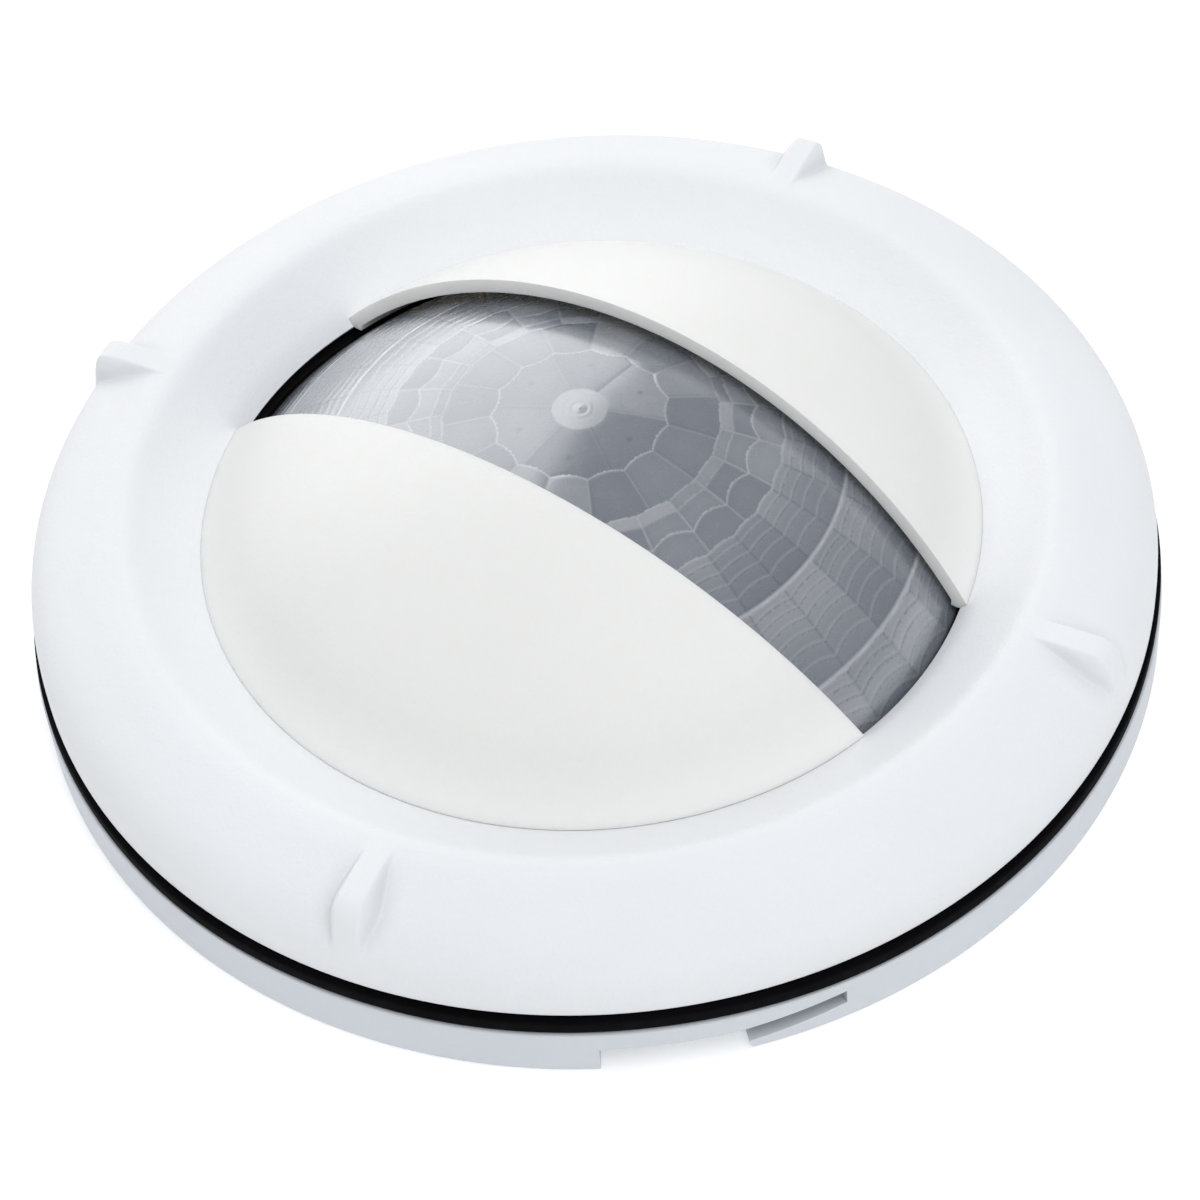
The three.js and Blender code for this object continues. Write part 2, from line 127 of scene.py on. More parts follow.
def plastic(name, colour, rough, grain=3600.0, depth=0.00003, strength=0.35, tint=0.03,
            spec=0.45, sss=0.0, painted_corner_shade=0.0):
    """Moulded plastic: eroded grain, slow colour drift, roughness that follows the grain.

    grain is a noise scale and depth its bump in metres; tint is the colour drift, and
    the last argument the painted shade that darkens corners.
    """
    m = Mat(name)
    slow = m.noise(scale=55, detail=3)
    fine = m.noise(scale=grain, rough=0.6)
    middle = m.noise(scale=grain * 0.28, detail=3, rough=0.55)
    dark = [c * (1 - tint) for c in colour]
    light = [c * (1 + tint * 0.6) for c in colour]
    base = m.ramp(slow, [(0.3, dark), (0.7, light)])
    if painted_corner_shade:
        # painted shade: ambient occlusion darkens the base colour in corners, such as between
        # ribs and shell
        corners = m.add("AmbientOcclusion", {"Distance": 0.0018}, samples=8, only_local=True)
        corner_shade_colour = (*[c * (1 - painted_corner_shade) for c in colour], 1)
        base = m.mix(corners.outputs["AO"], corner_shade_colour, base)
    m.set("Base Color", base)
    m.set("Roughness", m.spread(middle, rough - 0.06, rough + 0.07))
    m.set("Specular IOR Level", spec)
    coarse = m.bump(middle, strength=strength * 0.5, distance=depth * 2)
    m.set("Normal", m.bump(fine, strength, depth, below=coarse))
    if sss:
        m.set("Subsurface Weight", sss)
        m.set("Subsurface Radius", (0.0012, 0.0011, 0.001))
        m.set("Subsurface Scale", 1.0)


def metal(name, colour, rough, scratch=900.0):
    """Plated or drawn metal: fine directional marks (scratch is their scale)."""
    m = Mat(name)
    m.coords = m.add("Mapping", {"Scale": (1, 1, 7), "Vector": m.coords}).outputs["Vector"]
    marks = m.noise(scale=scratch, detail=4, rough=0.6)
    drift = m.noise(scale=160)
    m.set("Base Color", m.ramp(drift, [(0.3, [c * 0.88 for c in colour]), (0.7, colour)]))
    m.set("Metallic", 1.0)
    m.set("Roughness", m.spread(marks, rough - 0.08, rough + 0.12))
    m.set("Normal", m.bump(marks, strength=0.2, distance=0.00002))


def lens_material():
    """Milky polyethylene. The mesh carries facet tone with painted facet shade in red, and pale
    moulded lines with painted glints in green.
    """
    m = Mat("lens_plastic")
    facet = m.add("Attribute", {}, attribute_name="facet").outputs["Color"]
    channels = m.add("SeparateColor", {"Color": facet}).outputs
    tones = [(0.0, (0.085, 0.10, 0.135)), (0.5, (0.18, 0.20, 0.235)), (1.0, (0.34, 0.355, 0.38))]
    base = m.ramp(channels["Red"], tones)
    base = m.mix(channels["Green"], base, (0.60, 0.62, 0.64, 1))
    fine = m.noise(scale=3800, rough=0.6)
    m.set("Base Color", base)
    m.set("Roughness", m.spread(m.noise(scale=1200), 0.22, 0.30))
    m.set("Specular IOR Level", 1.0)
    m.set("IOR", 1.54)
    m.set("Coat Weight", 1.0)
    m.set("Coat IOR", 1.95)
    m.set("Coat Roughness", 0.19)
    m.set("Subsurface Weight", 0.12)
    m.set("Subsurface Radius", (0.0010, 0.0011, 0.0012))
    m.set("Subsurface Scale", 1.0)
    m.set("Normal", m.bump(fine, strength=0.10, distance=0.00001))


# bezel_plastic and rear_plastic carry painted shade in their corners
plastic("bezel_plastic", (0.86, 0.872, 0.888), rough=0.5, grain=3300, depth=0.00007,
        strength=0.55, tint=0.02, spec=0.18, painted_corner_shade=0.66)
plastic("mask_plastic", (0.89, 0.886, 0.860), rough=0.46, grain=3000, depth=0.00006,
        strength=0.45, tint=0.02, sss=0.5)
plastic("rear_plastic", (0.67, 0.70, 0.74), rough=0.5, depth=0.00005, strength=0.45,
        spec=0.4, painted_corner_shade=0.5)
plastic("gasket_rubber", (0.0025, 0.0025, 0.003), rough=0.8, grain=2200, depth=0.00004,
        strength=0.4, tint=0.4, spec=0.05)
plastic("black_plastic", (0.012, 0.012, 0.013), rough=0.5, grain=2600, strength=0.4, tint=0.25)
plastic("inner_plastic", (0.55, 0.57, 0.60), rough=0.5)
plastic("white_control", (0.80, 0.80, 0.77), rough=0.42, grain=3000, strength=0.3)
plastic("dip_blue", (0.010, 0.055, 0.30), rough=0.45, grain=2600, tint=0.12)
plastic("board_laminate", (0.006, 0.030, 0.075), rough=0.3, grain=700, depth=0.00002,
        tint=0.35, spec=0.6)
metal("screw_steel", (0.56, 0.58, 0.60), rough=0.32)
metal("can_metal", (0.68, 0.69, 0.70), rough=0.24, scratch=600)
metal("contact_gold", (0.80, 0.58, 0.22), rough=0.26, scratch=1500)
metal("capacitor_aluminium", (0.66, 0.68, 0.70), rough=0.30, scratch=1100)
metal("label_foil", (0.66, 0.67, 0.69), rough=0.42, scratch=500)
GLOSSY = dict(grain=900, depth=0.000005, strength=0.1)  # nearly grainless
plastic("ir_filter", (0.012, 0.007, 0.02), rough=0.12, tint=0.2, spec=0.7, **GLOSSY)
plastic("led_red", (0.42, 0.012, 0.010), rough=0.12, tint=0.1, spec=0.6, **GLOSSY)
plastic("sensor_clear", (0.52, 0.52, 0.47), rough=0.15, tint=0.05, spec=0.6, **GLOSSY)
lens_material()


# ------------------------------------------------------------------ mesh tools
def place(name, data):
    obj = bpy.data.objects.new(name, data)
    bpy.context.scene.collection.objects.link(obj)
    return obj


def orient(verts, faces):
    """Turns every face the other way if the closed mesh is inside out."""
    points = np.asarray(verts, float)
    tris = np.array([(f[0], f[k], f[k + 1]) for f in faces for k in range(1, len(f) - 1)])
    first, second, third = (points[tris[:, k]] for k in range(3))
    volume = np.einsum("ij,ij->", first, np.cross(second, third))
    return faces if volume > 0 else [tuple(reversed(f)) for f in faces]


def solid(name, verts, faces):
    mesh = bpy.data.meshes.new(name)
    mesh.from_pydata([tuple(v) for v in np.asarray(verts) * MM], [], orient(verts, faces))
    mesh.update()
    return place(name, mesh)


def finish_piece(obj, slot, body, nodes, sharp):
    """Shades the piece, breaking edges over sharp degrees, gives it its material, attaches it to
    its body and hides the nodes it replaces.
    """
    mesh = obj.data
    mesh.shade_smooth()
    mesh.set_sharp_from_angle(angle=math.radians(sharp))
    mesh.materials.append(FINISH[slot])
    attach(obj, body)
    if nodes:
        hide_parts(*nodes)


def piece(name, verts, faces, slot, body, nodes, sharp):
    obj = solid(name, verts, faces)
    obj.data.validate()
    finish_piece(obj, slot, body, nodes, sharp)
    return obj


def bevel(obj, width, segments, degrees):
    """Rounds edges sharper than the angle; width in metres."""
    modifier = obj.modifiers.new("edge", "BEVEL")
    modifier.width = width
    modifier.segments = segments
    modifier.limit_method = "ANGLE"
    modifier.angle_limit = math.radians(degrees)
    return modifier


def smooth(points, count):
    """Catmull-Rom through the points, resampled evenly along its length."""
    p = np.array(points, float)
    ctrl = np.vstack([2 * p[0] - p[1], p, 2 * p[-1] - p[-2]])
    curve = []
    for i in range(1, len(ctrl) - 2):
        before, start, end, after = ctrl[i - 1:i + 3]
        for t in np.linspace(0, 1, 24, endpoint=False):
            curve.append(0.5 * (
                2 * start + (end - before) * t
                + (2 * before - 5 * start + 4 * end - after) * t ** 2
                + (3 * start - before - 3 * end + after) * t ** 3))
    curve = np.array(curve + [ctrl[-2]])
    steps = np.linalg.norm(np.diff(curve, axis=0), axis=1)
    length = np.concatenate([[0], np.cumsum(steps)])
    even = np.linspace(0, length[-1], count)
    return np.stack([np.interp(even, length, curve[:, k]) for k in (0, 1)], 1)


def fillet(points, radii, count=4):
    """Closed polygon with its corners rounded, count points to a corner."""
    p = np.array(points, float)
    rounded = []
    for i, radius in enumerate(np.broadcast_to(radii, len(p))):
        corner = p[i]
        back, ahead = p[i - 1] - corner, p[(i + 1) % len(p)] - corner
        back_len, ahead_len = np.linalg.norm(back), np.linalg.norm(ahead)
        back, ahead = back / back_len, ahead / ahead_len
        half = math.acos(max(-1, min(1, float(back @ ahead)))) / 2
        if radius <= 0 or half > 1.5:
            rounded.append(corner)
            continue
        reach = radius / math.tan(half)
        start = corner + back * min(reach, back_len * 0.45, ahead_len * 0.45)
        end = corner + ahead * min(reach, back_len * 0.45, ahead_len * 0.45)
        for t in np.linspace(0, 1, count):
            rounded.append((1 - t) ** 2 * start + 2 * t * (1 - t) * corner + t ** 2 * end)
    return np.array(rounded)


def round_steps(count):
    """Even azimuths round the full circle, in radians."""
    return np.linspace(0, 2 * math.pi, count, endpoint=False)


def spot(radius, degrees):
    azimuth = math.radians(degrees)
    return np.array([radius * math.cos(azimuth), radius * math.sin(azimuth), 0])


def grid_faces(rows, cols, close_cols=True, close_rows=True):
    i = np.arange(rows if close_rows else rows - 1)[:, None]
    j = np.arange(cols if close_cols else cols - 1)[None, :]
    row, next_row = i * cols, (i + 1) % rows * cols
    next_col = (j + 1) % cols
    quads = [row + j, row + next_col, next_row + next_col, next_row + j]
    return np.stack(quads, -1).reshape(-1, 4).tolist()


def lathe(profile, azimuths):
    """[r, z] points turned round Z, one row of vertices for each point."""
    r, z = np.asarray(profile, float).T
    rows = [np.outer(r, np.cos(azimuths)), np.outer(r, np.sin(azimuths)),
            np.outer(z, np.ones(len(azimuths)))]
    return np.stack(rows, 2).reshape(-1, 3)


def ring(profile, azimuths):
    """Vertices and faces of a closed [r, z] profile turned round Z."""
    p = np.asarray(profile, float)
    area = np.sum(p[:, 0] * np.roll(p[:, 1], -1) - np.roll(p[:, 0], -1) * p[:, 1])
    if area > 0:
        p = p[::-1]
    return lathe(p, azimuths), [f[::-1] for f in grid_faces(len(p), len(azimuths))]


def post(profile, centre):
    """Small turned post with softened corners."""
    verts, faces = ring(fillet(profile, 0.12, 3), round_steps(40))
    return verts + centre, faces


def capped(profile, count):
    """Open [r, z] profile turned round Z, its first and last rows closed by flat caps."""
    verts = lathe(profile, round_steps(count))
    faces = grid_faces(len(profile), count, close_rows=False)
    faces += [tuple(range(count))[::-1], tuple(range(len(verts) - count, len(verts)))]
    return verts, faces


# ------------------------------------------------------------------- the bezel
RIBS = [math.radians(a) for a in (-29.8, 60.2, 152.2, -117.2)]
RIB_HALF_WIDTH = 0.80
CROWN_STEPS = 64
# Profiles as (r, z). The crown is the plain outer face; the rib stands out from it.
FUNNEL = [
    (28.95, 9.0), (29.5, 9.62), (30.3, 10.36), (31.7, 11.32), (33.0, 12.2), (34.0, 12.86),
    (34.6, 13.12), (35.2, 13.18)]
CROWN = [
    (35.2, 13.18), (36.4, 13.02), (38.0, 12.52), (39.9, 11.72), (41.2, 10.82), (42.05, 9.7),
    (42.4, 8.6), (42.5, 7.4), (42.5, 6.0)]
RIB = [
    (35.2, 13.18), (36.4, 13.2), (38.2, 13.28), (40.0, 13.28), (40.9, 13.12), (41.55, 12.65),
    (41.9, 11.8), (42.15, 10.7), (42.35, 9.2), (42.48, 7.6), (42.5, 6.0)]
UNDERSIDE = [
    (42.3, 5.7), (40.3, 5.7), (40.3, 7.9), (38.8, 9.8), (36.0, 11.1), (34.4, 10.6),
    (34.4, 5.25), (33.2, 5.25), (33.2, 10.0), (31.6, 8.75), (29.08, 8.75)]
SCREW_BOSS = [(1.45, 3.0), (2.25, 3.0), (2.25, 11.3), (0.02, 11.3), (0.02, 9.5), (1.45, 9.5)]


def bezel():
    funnel = smooth(FUNNEL, 30)[:-1]
    crown = smooth(CROWN, CROWN_STEPS)
    base = np.vstack([funnel, crown, UNDERSIDE])
    lift = np.zeros_like(base)
    # The rib's point at the same distance along, so the sides lean only a little.
    lift[len(funnel):len(funnel) + CROWN_STEPS] = smooth(RIB, CROWN_STEPS) - crown
    size = np.linalg.norm(lift, axis=1)[:, None]
    # coarse azimuths all round, fine ones across each rib
    degrees = list(np.arange(0, 360, 1.25))
    for rib in RIBS:
        degrees += list(math.degrees(rib) % 360 + np.arange(-4.6, 4.61, 0.115))
    azimuths = np.radians(np.array(sorted({round(a % 360, 3) for a in degrees})))
    weight = np.zeros((len(base), len(azimuths)))
    for rib in RIBS:
        away = (azimuths - rib + math.pi) % (2 * math.pi) - math.pi
        across = np.abs(base[:, :1] * np.sin(away))
        side = np.clip(1 - (across - RIB_HALF_WIDTH) / (0.30 + 0.50 * size), 0, 1)
        near = np.abs(away) < 0.12
        weight = np.maximum(weight, near * side * side * (3 - 2 * side))
    r, z = np.moveaxis(base[:, None] + lift[:, None] * weight[..., None], 2, 0)
    verts = np.stack([r * np.cos(azimuths), r * np.sin(azimuths), z], 2).reshape(-1, 3)
    faces = grid_faces(len(base), len(azimuths))
    # screw bosses, rooted in the roof under the crest
    for degrees in SCREW_DEGREES:
        boss, boss_faces = post(SCREW_BOSS, spot(SCREW_R, degrees))
        faces += [tuple(q + len(verts) for q in f) for f in boss_faces]
        verts = np.vstack([verts, boss])
    piece("bezel_shell", verts, faces, "bezel_plastic", "housing", ["bezel"], sharp=50)


bezel()


# ------------------------------------------------------------------ the gasket
def gasket():
    section = [(39.6, 4.15), (42.9, 4.15), (42.9, 5.66), (39.6, 5.66)]
    verts, faces = ring(fillet(section, [0.1, 0.42, 0.42, 0.1], 6), round_steps(288))
    # the squeezed rubber stands a little unevenly round the rim
    azimuth = np.arctan2(verts[:, 1], verts[:, 0])
    waves = 0.035 * np.sin(5 * azimuth + 0.7) + 0.025 * np.sin(11 * azimuth + 2.1)
    bulge = (np.hypot(verts[:, 0], verts[:, 1]) > 42) * (waves - 0.03)
    verts[:, 0] += bulge * np.cos(azimuth)
    verts[:, 1] += bulge * np.sin(azimuth)
    piece("gasket_ring", verts, faces, "gasket_rubber", "housing", ["rim_gasket"], sharp=60)


gasket()

# --------------------------------------------------------------- the mask lobes
SLOT_AZ = math.radians(-38.6)  # direction of the slot between the lobes
DOME_R, DOME_TOP, MASK_T = 29.45, 23.75, 1.1
MASK_INNER_R = 28.2
CAP_R, CAP_H = 29.3, 13.92  # spherical cap that sets the dome's curvature
DOME_RHO = (CAP_R ** 2 + CAP_H ** 2) / (2 * CAP_H)
DOME_CENTRE_Z = DOME_TOP - DOME_RHO - 0.03
# (r, z) of the rim, down the funnel to a locating lip inside the bezel's opening
SKIRT = [(29.43, 9.585), (29.2, 9.33), (28.96, 9.07), (28.84, 8.99), (28.78, 8.95),
         (MASK_INNER_R, 8.95)]


def lobe(name, node, side, half_gap, lean):
    """One lobe; side is its sign in y before turning. Edge plane: half_gap + lean (z - top)."""
    cols = 161
    spread = np.sin(np.linspace(-math.pi / 2, math.pi / 2, cols))

    def edge_plane(z):
        return half_gap + lean * (z - DOME_TOP)

    def edge_y(x, rho):
        y = np.full_like(x, half_gap)
        for _ in range(40):
            squared = rho ** 2 - x ** 2 - y ** 2
            y = edge_plane(DOME_CENTRE_Z + np.sqrt(np.maximum(squared, 0)))
        return y

    def sheet(rho, rim):
        # bisect for where the edge plane meets the rim circle
        low, high = 0.0, rim
        for _ in range(60):
            middle = (low + high) / 2
            edge = edge_y(np.array([middle]), rho)[0]
            if middle * middle + edge * edge < rim * rim:
                low = middle
            else:
                high = middle
        x = spread * low * 0.99995
        edge = edge_y(x, rho)
        # rows run from the slot edge to the rim, and bow so the quads stay even
        y = edge + (np.sqrt(rim ** 2 - x ** 2) - edge) * np.linspace(0, 1, 61)[:, None]
        x = np.broadcast_to(x, y.shape)
        z = DOME_CENTRE_Z + np.sqrt(rho ** 2 - x ** 2 - y ** 2)
        return np.stack([x, y * side, z], 2)

    skirt = []
    for r, z in SKIRT:
        x = spread * math.sqrt(r ** 2 - edge_plane(z) ** 2)
        skirt.append(np.stack([x, side * np.sqrt(r ** 2 - x ** 2), np.full_like(x, z)], 1))
    outer, inner = sheet(DOME_RHO, DOME_R), sheet(DOME_RHO - MASK_T, MASK_INNER_R)
    rows = np.concatenate([outer, np.array(skirt), inner[::-1]], 0)
    x, y, z = rows.reshape(-1, 3).T
    cos, sin = math.cos(SLOT_AZ), math.sin(SLOT_AZ)
    verts = np.stack([x * cos - y * sin, x * sin + y * cos, z], 1)
    faces = grid_faces(len(rows), cols, close_cols=False)
    faces += [tuple(range(0, len(verts), cols)),
              tuple(reversed(range(cols - 1, len(verts), cols)))]
    obj = piece(name, verts, faces, "mask_plastic", "lens_turret", [node], sharp=40)
    bevel(obj, width=0.00010, segments=3, degrees=58).harden_normals = True


lobe("mask_near", "mask_lobe_near", side=-1, half_gap=8.82, lean=0.132)
lobe("mask_far", "mask_lobe_far", side=1, half_gap=9.54, lean=0.155)

# -------------------------------------------------------------------- the lens
LENS_TOP, LENS_R, LENS_RHO = 21.5, 28.55, 37.0
LENS_CENTRE_Z = LENS_TOP - LENS_RHO
LENS_T = 0.9
DISC_R = 2.0
LENS_STEPS = 1260
# Facet rings: inner and outer radius, cells, first boundary in degrees, scallop depth, Fresnel
# bands, then strengths of the side lines, the inner edge line and the shadow beside a side line
Ring = namedtuple("Ring", "inner outer cells first scallop bands side_line edge_line shadow")
RINGS = [Ring(*row) for row in (
    (DISC_R, 6.3, 6, 46, 0.0, 0, 0.06, 0.10, 0.12),
    (6.3, 10.2, 15, 7, 0.42, 0, 0.16, 0.62, 0.12),
    (10.2, 11.1, 24, 4, 0.14, 0, 0.22, 0.34, 0.06),
    (11.1, 12.7, 24, 4, 0.16, 0, 0.30, 0.34, 0.06),
    (12.7, 14.8, 24, 4, 0.62, 0, 0.24, 0.60, 0.06),
    (14.8, 19.5, 36, 3, 0.20, 5, 0.0, 0.50, 0),
    (19.5, 25.3, 36, 3, 0.12, 7, 0.0, 0.50, 0),
    (25.3, 31.1, 36, 3, 0.12, 7, 0.0, 0.50, 0))]


def bell(distance, width):
    return np.exp(-(distance / width) ** 2)


def cell_place(facets, azimuth):
    """Cell number, and place across the cell from 0 to 1."""
    turns = (azimuth - math.radians(facets.first)) / (2 * math.pi)
    place_in = (turns * facets.cells) % facets.cells
    return np.floor(place_in).astype(int) % facets.cells, place_in % 1.0


def scallop(facets, across):
    return facets.scallop * ((2 * across - 1) ** 2 - 0.4)


def facet_ring(k, radius, azimuth):
    """Where ring k lies, and its height, tone (with painted facet shade) and line strength (with
    painted glints) there.
    """
    facets = RINGS[k]
    cells, bands = facets.cells, facets.bands
    cell, across = cell_place(facets, azimuth)
    low, high = facets.inner + scallop(facets, across), facets.outer
    if k + 1 < len(RINGS):
        after = RINGS[k + 1]
        high = high + scallop(after, cell_place(after, azimuth)[1])
    inside = (radius >= low) & (radius < high)
    outward = np.clip((radius - low) / (high - low), 0, 1)
    tone = rng.uniform(0.26, 0.74, cells)[cell]
    side = np.minimum(across, 1 - across) * (2 * math.pi / cells * radius)
    fade = 1.0  # towards every edge of the facet
    for distance in (side, radius - low, high - radius):
        fade = fade * np.clip(distance / 0.25, 0, 1)
    width = facets.outer - facets.inner
    centre = math.radians(facets.first) + (cell + 0.5) * 2 * math.pi / cells

    def from_axis(axis_r):
        """Distance from the point at this radius on the cell's centre line."""
        return np.hypot(radius * np.cos(azimuth) - axis_r * np.cos(centre),
                        radius * np.sin(azimuth) - axis_r * np.sin(centre))

    # every facet is a lens of its own: crowned, and leaning slightly from its neighbours
    height = 0.02 * (1 - (2 * across - 1) ** 2) * min(1, width / 3) * fade
    height = height + (rng.uniform(-0.01, 0.01, cells)[cell] * (2 * across - 1)
                       + rng.uniform(-0.01, 0.01, cells)[cell] * (2 * outward - 1)) * fade
    if k == 0:  # the inner ring is nearly flat
        height = height * 0.25
    # painted shade: each facet lighter in its middle and darker towards its edges
    painted_facet_shade = 0.10 * (0.5 - np.abs(across - 0.5)) + 0.12 * (0.5 - np.abs(outward - 0.55)) - 0.05
    glint = 0.0
    if bands:
        # bands about a centre beyond the outer boundary: shallow arcs, widest at the far end
        beyond = 5.0
        distance = from_axis(facets.outer + beyond)
        step = ((width + beyond) ** 2 - beyond ** 2) / bands
        band = np.maximum((distance ** 2 - beyond ** 2) / step, 0)
        band = np.minimum(np.floor(band), bands + 1)
        past = distance - np.sqrt(band * step + beyond ** 2)
        ahead = np.sqrt((band + 1) * step + beyond ** 2) - distance
        part = np.clip(past / (past + ahead), 0, 1)
        # saw-tooth: each band climbs away from its centre and drops to the next
        tooth = np.minimum(0.02, 0.05 * (past + ahead)) * (part - 0.5)
        height = height * 0.5 + tooth * np.clip(side / 0.12, 0.3, 1)
        # painted shade: tone steps from band to band and across each saw-tooth, darker at band
        # and cell edges
        painted_facet_shade = 0.075 * np.minimum(band, 4) - 0.16 + 0.14 * (part - 0.5)
        painted_facet_shade = painted_facet_shade - 0.34 * bell(past, 0.085) * (band > 0) - 0.28 * bell(side, 0.09)
        # painted glint: a pale streak just past each band edge, carried with the pale lines
        glint = 0.20 * bell(past - 0.15, 0.10) * (band > 0)
        tone = tone * 0.6 + 0.22
    side_line = bell(side, 0.085) * facets.side_line
    edge_line = bell(radius - low, 0.12) * facets.edge_line
    line = np.clip(np.maximum(np.maximum(side_line, edge_line), glint), 0, 1)
    tone = tone + painted_facet_shade - bell(side - 0.16, 0.14) * (across < 0.5) * facets.shadow
    if k == 0:  # a dark dot in each cell
        tone = tone - 0.4 * bell(from_axis(4.7), 0.2)
    if k == 2:
        tone = tone + 0.20
    return inside, height, tone, line


def lens_surface(radius, azimuth):
    height, line = np.zeros_like(radius), np.zeros_like(radius)
    tone = np.full_like(radius, 0.55)
    for k in range(len(RINGS)):
        inside, ring_height, ring_tone, ring_line = facet_ring(k, radius, azimuth)
        height = np.where(inside, ring_height, height)
        tone = np.where(inside, ring_tone, tone)
        line = np.where(inside, ring_line, line)
    for facets in RINGS[-2:]:  # moulded ridge at the start of the two outer rings
        past = radius - facets.inner
        line = np.maximum(line, 0.62 * bell(past + 0.02, 0.12))
        tone = tone - 0.18 * bell(past + 0.24, 0.07)
        height = height + 0.03 * bell(past, 0.13)
    disc = radius < DISC_R
    tone, line = np.where(disc, 0.72, tone), np.where(disc, 0.22, line)
    # centre pip and the fine ring round it
    height = height + 0.03 * np.exp(-(radius / 0.45) ** 4) + 0.008 * bell(radius - 0.8, 0.12)
    height = height * np.clip((28.2 - radius) / 0.3, 0, 1)
    return height, tone, line


def fresnel():
    edge = LENS_R - 0.08
    radii = np.concatenate([np.arange(0.15, edge, 0.088), [edge]])
    steps = round_steps(LENS_STEPS)
    radius, azimuth = np.meshgrid(radii, steps, indexing="ij")
    height, tone, line = lens_surface(radius, azimuth)
    rise = np.sqrt(LENS_RHO ** 2 - radius ** 2)
    base = np.stack([radius * np.cos(azimuth), radius * np.sin(azimuth), rise], 2)
    top = base + [0, 0, LENS_CENTRE_Z] + base / LENS_RHO * (height - 0.08)[..., None]
    # outer wall down to the foot, then the inner surface up towards the axis
    rim_z = LENS_CENTRE_Z + math.sqrt(LENS_RHO ** 2 - LENS_R ** 2) - 0.12
    back = [(LENS_R - 0.01, rim_z), (LENS_R, rim_z - 0.1), (LENS_R, 6.8), (LENS_R - 0.05, 6.75),
            (27.4, 6.75)]
    for r in (27.4, 25.5, 23, 20, 16, 12, 8, 4, 1):
        back.append((r, LENS_CENTRE_Z + math.sqrt((LENS_RHO - LENS_T) ** 2 - r * r)))
    poles = [[0, 0, LENS_TOP + 0.01], [0, 0, LENS_TOP - LENS_T]]
    verts = np.vstack([top.reshape(-1, 3), lathe(back, steps), poles])
    tones = np.stack([np.clip(tone, 0, 1), line, line, np.ones_like(line)], 2).reshape(-1, 4)
    plain = np.tile([0.5, 0, 0, 1], (len(back) * LENS_STEPS, 1))
    colours = np.vstack([tones, plain, [[0.72, 0.22, 0.22, 1], [0.5, 0, 0, 1]]])
    faces = grid_faces(len(radii) + len(back), LENS_STEPS, close_rows=False)
    outer_pole, inner_pole = len(verts) - 2, len(verts) - 1
    last = outer_pole - LENS_STEPS
    following = [(j + 1) % LENS_STEPS for j in range(LENS_STEPS)]
    faces += [(after, j, outer_pole) for j, after in enumerate(following)]
    faces += [(last + j, last + after, inner_pole) for j, after in enumerate(following)]
    obj = piece("lens_dome", verts, faces, "lens_plastic", "lens_turret", ["fresnel_lens"], 65)
    facet = obj.data.color_attributes.new("facet", "FLOAT_COLOR", "POINT")
    facet.data.foreach_set("color", colours.astype(np.float32).ravel())


fresnel()

# ------------------------------------------------------------- the rear housing
NOTCH_SWEEP, TRACK_SWEEP = 13.2, 10.5  # degrees
CUT_LOW, CUT_HIGH = 0.5, 4.5  # heights that clear the floor plate
# (r, z, corner radius), from the axis along the underside, up the collar and back
REAR_PROFILE = np.array([
    (0.01, 1.3, 0), (40.6, 1.3, 0.25), (40.6, 0.0, 0.12), (43.0, 0.0, 0.14),
    (43.0, 4.1, 0.22), (39.9, 4.1, 0.2), (39.9, 2.9, 0.3), (34.2, 2.9, 0.3),
    (34.2, 3.85, 0.1), (33.0, 3.85, 0.1), (33.0, 2.9, 0.3), (0.01, 2.9, 0)])
STANDOFF = [(1.05, 2.88), (2.3, 2.88), (2.3, 4.53), (1.05, 4.53)]


def tube(radius, x, y, top=CUT_HIGH, count=48):
    verts, faces = capped([(radius, CUT_LOW), (radius, top)], count)
    return solid("cutter", verts + [x, y, 0], faces)


def brick(width, depth, x, y):
    corners = ((-1, -1), (1, -1), (1, 1), (-1, 1))
    verts = [(x + i * width / 2, y + j * depth / 2, z)
             for z in (CUT_LOW, CUT_HIGH) for i, j in corners]
    faces = [(3, 2, 1, 0), (4, 5, 6, 7), (0, 1, 5, 4), (1, 2, 6, 5), (2, 3, 7, 6), (3, 0, 4, 7)]
    return solid("cutter", verts, faces)


def arc_block(inner, outer, start, sweep, low, high, count, slant=0.0):
    """Block between two radii and azimuths in degrees.

    low and high are the heights at each end; slant carries the far end's foot further round.
    """
    verts, faces = [], []
    for i in range(count + 1):
        t = i / count
        upper = start + sweep * t
        lower = upper + (slant if i == count else 0)
        foot = [0, 0, low[0] + (low[1] - low[0]) * t]
        head = [0, 0, high[0] + (high[1] - high[0]) * t]
        verts += [spot(inner, lower) + foot, spot(outer, lower) + foot,
                  spot(outer, upper) + head, spot(inner, upper) + head]
    for i in range(0, count * 4, 4):
        for k in range(4):
            after = (k + 1) % 4
            faces.append((i + k, i + after, i + 4 + after, i + 4 + k))
    last = count * 4
    faces += [(3, 2, 1, 0), (last, last + 1, last + 2, last + 3)]
    return solid("cutter", verts, faces)


def rear_cutters():
    cutters = []
    for notch, screw in zip(NOTCH_DEGREES, SCREW_DEGREES):
        # a notch through the foot of the collar, and a climbing track that runs on from it
        cutters.append(arc_block(40.3, 44.5, notch, NOTCH_SWEEP, (-1, -1), (2.4, 2.4),
                                 count=12, slant=1.6))
        cutters.append(arc_block(41.9, 44.5, notch + NOTCH_SWEEP - 0.7, TRACK_SWEEP + 0.7,
                                 (0.75, 1.75), (2.36, 3.1), count=16))
        # screw hole and its counterbore
        x, y, _ = spot(SCREW_R, screw)
        cutters.append(tube(1.7, x, y))
        cutters.append(tube(2.95, x, y, top=2.1))
    for x, y in ((-13, -7), (13, -7), (13, 5)):
        cutters.append(tube(2.65, x, y, count=64))
    cutters.append(tube(1.5, TAMPER_X, TAMPER_Y))
    cutters.append(brick(11.4, 6.8, 0, -9))
    cutters.append(brick(16.8, 5.2, 0, 16.5))
    return cutters


